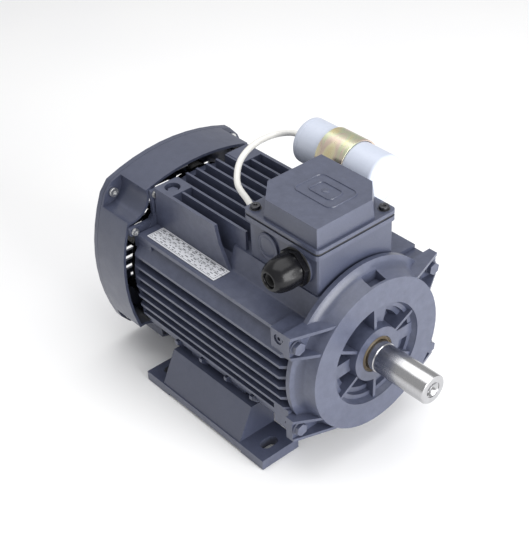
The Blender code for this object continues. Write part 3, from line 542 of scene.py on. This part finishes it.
def make_gland():
    """Dome nut with gripping flutes, seal ring inside its mouth and a washer at the wall."""
    nut = ((-45.9, 9.95), (-45.9, 13.2), (-46.4, 13.55), (-48.5, 13.6), (-53.0, 13.6),
           (-54.5, 13.5), (-58.0, 13.1), (-61.5, 12.3), (-64.5, 10.9), (-66.4, 9.4),
           (-67.5, 8.2), (-67.8, 7.4), (-67.7, 6.4), (-67.0, 5.9), (-65.6, 5.6), (-62.8, 5.6),
           (-58.0, 9.95))
    piece("gland_dome", fluted(nut, 120, GLAND, FLUTES, FLUTE_DEPTH, (-56.0, -46.2)), "black_plastic",
          replaced=("gland_nut",))
    seal = ((-65.4, 4.4), (-65.9, 4.7), (-66.0, 5.2), (-65.2, 5.5), (-58.6, 5.5), (-58.6, 4.4))
    piece("gland_seal_ring", lathe(seal, 48, GLAND, "Y"), "rubber")
    collar = ((-40.75, 10.2), (-40.75, 14.9), (-40.3, 15.2), (-40.05, 15.0), (-40.05, 10.2))
    piece("gland_washer", lathe(collar, 64, GLAND, "Y"), "rubber")


def make_blank_plug():
    """Cast blank beside the gland: a shallow dome inside a raised ring."""
    wall = BOX_WALL_Y
    ring = ((wall + 0.2, 10.0), (wall - 0.05, 10.1), (wall - 0.35, 10.4), (wall - 0.35, 10.9),
            (wall - 0.1, 11.3), (wall + 0.2, 11.4))
    bm = lathe(ring, 64, BLANK, "Y")
    dome = [(wall + 0.2, 8.9), (wall - 0.05, 8.7), (wall - 0.25, 6.5), (wall - 0.35, 3.0),
            (wall - 0.38, 0.0), (wall + 0.2, 0.0)]
    lathe(dome, 64, BLANK, "Y", bm)
    piece("blank_plug_face", bm, "paint", angle=50.0)


PLATE_X = (edge_of("nameplate", 0, False), edge_of("nameplate", 0))
PLATE_Y = (edge_of("nameplate", 1, False), edge_of("nameplate", 1))
PLATE_Z = edge_of("nameplate", 2)
PRINT_RISE = 0.10
PRINT_ROWS = 6
HEADING_ROW, RULED_ROWS = 0, (1, 3)
RULE_WIDTH = 0.28


def make_nameplate_print():
    """Generic table on the plate: a frame, ruled lines and plain dashes in place of writing."""
    draw = random.Random(11)
    bm = bmesh.new()
    low, high = PLATE_Z - 0.05, PLATE_Z + PRINT_RISE
    x0, x1 = PLATE_X[0] + 1.4, PLATE_X[1] - 1.4
    y0, y1 = PLATE_Y[0] + 1.2, PLATE_Y[1] - 1.2
    line = RULE_WIDTH
    for y in (y0, y1 - line):
        block((x0, x1), (y, y + line), (low, high), bm)
    for x in (x0, x1 - line):
        block((x, x + line), (y0 + line, y1 - line), (low, high), bm)
    pitch = (y1 - y0 - 2.0 * line) / PRINT_ROWS
    for row in range(PRINT_ROWS):
        top = y1 - line - pitch * row
        if row in RULED_ROWS:
            block((x0 + line, x1 - line), (top - 0.10, top + 0.08), (low, high), bm)
        x = x0 + 1.6
        heavy = row == HEADING_ROW
        while x < x1 - 3.0:
            width = draw.uniform(2.0, 6.5) if heavy else draw.uniform(0.8, 4.2)
            width = min(width, x1 - 1.4 - x)
            height = pitch * (0.50 if heavy else 0.30)
            base = top - pitch * 0.5 - height / 2.0
            block((x, x + width), (base, base + height), (low, high), bm)
            x += width + draw.uniform(1.2, 6.0)
    piece("nameplate_print", bm, "ink", smooth=False)
    for i, x in enumerate((PLATE_X[0] + 0.75, PLATE_X[1] - 0.75)):
        mid = 0.5 * (PLATE_Y[0] + PLATE_Y[1])
        rivet = ((PLATE_Z - 0.1, 0.0), (PLATE_Z - 0.1, 0.62), (PLATE_Z + 0.15, 0.6),
                 (PLATE_Z + 0.35, 0.38), (PLATE_Z + 0.42, 0.0))
        piece(f"nameplate_rivet_{i + 1}", lathe(rivet, 20, (x, mid), "Z"), "zinc")


COVER_TOP = edge_of("terminal_box_cover", 2)
COVER_MID = (0.5 * (edge_of("terminal_box_cover", 0, False) + edge_of("terminal_box_cover", 0)),
             0.5 * (edge_of("terminal_box_cover", 1, False) + edge_of("terminal_box_cover", 1)))


def rounded(x, y, radius, steps=5):
    points = []
    for cx, cy, start in ((x[0] + radius, y[0] + radius, 1.0), (x[1] - radius, y[0] + radius, 1.5),
                          (x[1] - radius, y[1] - radius, 0.0), (x[0] + radius, y[1] - radius, 0.5)):
        for k in range(steps + 1):
            angle = math.pi * (start + 0.5 * k / steps)
            points.append((cx + radius * math.cos(angle), cy + radius * math.sin(angle)))
    return points


def bead(outline, base, rise, width):
    """Closed raised bead with sloping sides along an outline on a level face."""
    bm = bmesh.new()
    rings = []
    count = len(outline)
    mid = Vector((sum(p[0] for p in outline) / count, sum(p[1] for p in outline) / count))
    for inset, z in ((0.0, base), (width * 0.25, base + rise), (width * 0.75, base + rise),
                     (width, base)):
        ring = []
        for x, y in outline:
            out = Vector((x, y)) - mid
            scale = (out.length - inset) / out.length
            ring.append(bm.verts.new((mid.x + out.x * scale, mid.y + out.y * scale, z)))
        rings.append(ring)
    for a in range(4):
        ring, nxt = rings[a], rings[(a + 1) % 4]
        for k in range(count):
            m = (k + 1) % count
            bm.faces.new((ring[k], ring[m], nxt[m], nxt[k]))
    return bm


def make_cover_relief():
    """Plain cast relief on the cover: a rounded frame, a smaller one inside it and a boss."""
    cx, cy = COVER_MID[0] + 4.0, COVER_MID[1] + 3.0
    base = COVER_TOP - 0.15
    for i, (reach_x, reach_y, radius) in enumerate(((21.0, 15.5, 6.0), (12.5, 8.0, 4.0))):
        line = rounded((cx - reach_x, cx + reach_x), (cy - reach_y, cy + reach_y), radius, 8)
        piece(f"cover_relief_frame_{i + 1}", bead(line, base, 0.85, 1.7), "paint",
              angle=60.0)
    boss = ((base, 0.0), (base, 3.4), (base + 0.6, 3.1), (base + 0.85, 2.5), (base + 0.95, 0.0))
    piece("cover_relief_boss", lathe(boss, 40, (cx, cy), "Z"), "paint", angle=60.0)


CAP_AXIS = (0.5 * (edge_of("capacitor_can", 1, False) + edge_of("capacitor_can", 1)),
            0.5 * (edge_of("capacitor_can", 2, False) + edge_of("capacitor_can", 2)))
CAP_X = (edge_of("capacitor_can", 0, False), edge_of("capacitor_can", 0))
CAP_R = 0.5 * (edge_of("capacitor_can", 2) - edge_of("capacitor_can", 2, False))


def make_capacitor():
    """Moulded can with rounded ends and a seam near the lead's end."""
    x0, x1 = CAP_X
    outline = [(x0, 0.0), (x0, CAP_R - 2.6), (x0 + 0.5, CAP_R - 1.2), (x0 + 1.6, CAP_R - 0.2),
               (x0 + 2.8, CAP_R), (x0 + 5.0, CAP_R), (x0 + 5.2, CAP_R - 0.25),
               (x0 + 5.8, CAP_R - 0.25), (x0 + 6.0, CAP_R)]
    for k in range(9):
        angle = 0.5 * math.pi * k / 8.0
        outline.append((x1 - 3.0 + 3.0 * math.sin(angle), CAP_R - 3.0 + 3.0 * math.cos(angle)))
    outline += [(x1, CAP_R - 6.0), (x1 - 0.5, CAP_R - 7.0), (x1 - 0.6, 3.2), (x1 - 0.1, 2.2),
                (x1 - 0.1, 0.0)]
    piece("capacitor_shell", lathe(outline, 96, CAP_AXIS), "white_plastic",
          replaced=("capacitor_can",))


LID_RIM = 3.35                 # gasket to the top of the cover's rim


def make_washers():
    """Flat washers under the cover screws."""
    for i in (1, 2):
        name = f"cover_screw_{i}"
        mid = (0.5 * (edge_of(name, 0, False) + edge_of(name, 0)),
               0.5 * (edge_of(name, 1, False) + edge_of(name, 1)))
        base = edge_of("terminal_box_gasket", 2) + LID_RIM
        ring = ((base, 2.3), (base, 4.6), (base + 0.2, 4.75), (base + 0.26, 4.6),
                (base + 0.26, 2.3))
        piece(f"cover_washer_{i}", lathe(ring, 40, mid, "Z"), "dark_steel")


make_shaft()
make_seal()
make_gland()
make_blank_plug()
make_nameplate_print()
make_cover_relief()
make_capacitor()
make_washers()

# ---- rounding of the CAD nodes ----------------------------------------------------------
ROUNDS = {
    "housing": 0.7, "drive_end_shield": 0.8, "rear_end_shield": 0.5, "fan_cover": 0.7,
    "fan_grille": 0.7, "left_foot": 1.3, "right_foot": 1.3, "terminal_box": 1.1,
    "terminal_box_cover": 1.5, "gland_body": 0.4, "capacitor_clamp": 0.3, "nameplate": 0.2,
    "shaft_key": 0.3, "fan": 0.3, "terminal_board": 0.4,
}
for name, width in ROUNDS.items():
    round_edges(frame["nodes"][name], width, clean=True)
for name in sorted(frame["nodes"]):
    if "screw" in name or "bolt" in name:
        round_edges(frame["nodes"][name], 0.35, clean=True)


# ---- stage ------------------------------------------------------------------------------
FLOOR_HALF, FLOOR_Z = 6.0, -0.0005
WORLD_STRENGTH = 0.58
LIGHT_AIM = (-100.0, 0.0, 20.0)


def make_floor():
    bm = bmesh.new()
    corners = [bm.verts.new((x * FLOOR_HALF, y * FLOOR_HALF, FLOOR_Z)) for x, y in
               ((-1, -1), (1, -1), (1, 1), (-1, 1))]
    bm.faces.new(corners)
    mesh = bpy.data.meshes.new("floor")
    bm.to_mesh(mesh)
    bm.free()
    floor = bpy.data.objects.new("floor", mesh)
    bpy.context.scene.collection.objects.link(floor)
    s = Surface("floor_paper")
    s.colour(s.ramp(s.noise(3.0, 2.0), (0.3, (0.93, 0.93, 0.94)), (0.7, (0.96, 0.96, 0.96))))
    s.roughness(s.noise(8.0), 0.75, 0.85)
    mesh.materials.append(s.mat)


def area_light(name, place, target, size, power, colour=(1.0, 1.0, 1.0)):
    data = bpy.data.lights.new(name, "AREA")
    data.shape = "RECTANGLE"
    data.size, data.size_y = size
    data.energy = power
    data.color = colour
    light = bpy.data.objects.new(name, data)
    aim = at(*target) - at(*place)
    light.rotation_euler = aim.to_track_quat("-Z", "Y").to_euler()
    light.location = at(*place)
    bpy.context.scene.collection.objects.link(light)


def make_light():
    bpy.context.scene.view_settings.view_transform = "Standard"
    world = bpy.data.worlds.new("studio")
    world.use_nodes = True
    background = world.node_tree.nodes["Background"]
    background.inputs["Color"].default_value = (1.0, 1.0, 1.0, 1.0)
    background.inputs["Strength"].default_value = WORLD_STRENGTH
    bpy.context.scene.world = world
    area_light("key", (1000.0, 100.0, 300.0), LIGHT_AIM, (0.8, 0.8), 15.0)
    area_light("top", (-150.0, 100.0, 1100.0), LIGHT_AIM, (1.2, 1.2), 9.0)


make_floor()
make_light()
